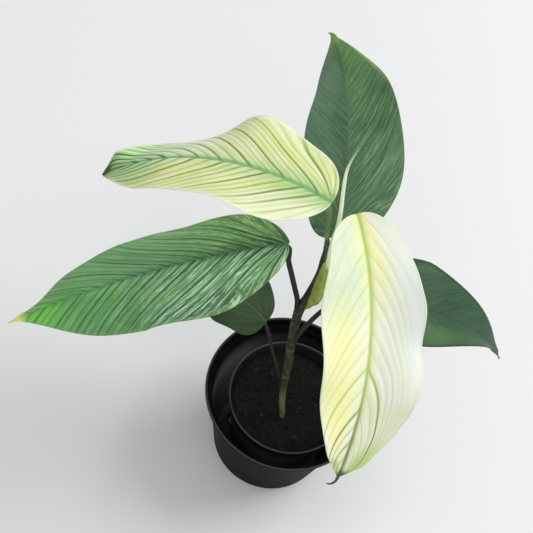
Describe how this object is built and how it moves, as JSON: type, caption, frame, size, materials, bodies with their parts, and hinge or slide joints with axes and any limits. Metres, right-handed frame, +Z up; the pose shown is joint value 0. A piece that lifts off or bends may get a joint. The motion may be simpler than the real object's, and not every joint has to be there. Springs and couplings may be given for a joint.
{
  "type": "potted scindapsus curranii",
  "caption": "Leafy aroid in a black plastic pot: long waved leaves on slim petioles, some pale cream and some dark green, with a rolled new leaf.",
  "frame": {"origin": "centre of the outer pot's underside, on the floor", "axes": "+Z up, +Y away from the viewer in the picture, +X to the viewer's right"},
  "size_m": [0.2988, 0.3063, 0.3641],
  "materials": {
    "pot_plastic": "satin black moulded plastic",
    "soil": "damp dark potting mix with bark and a few pale grains",
    "stem": "olive green, smooth",
    "green_leaf": "dark green with silver streaks, satin",
    "pale_leaf": "cream and yellow with green veins, satin",
    "new_leaf": "pale green cream, smooth"
  },
  "bodies": {
    "root": {"outer_pot": "pot_plastic", "grow_pot": "pot_plastic", "soil": "soil", "stem": "stem", "leaf_1": "green_leaf", "leaf_2": "pale_leaf", "leaf_3": "pale_leaf", "leaf_4": "green_leaf", "leaf_5": "green_leaf", "leaf_6": "green_leaf", "new_leaf": "new_leaf"}
  },
  "joints": []
}
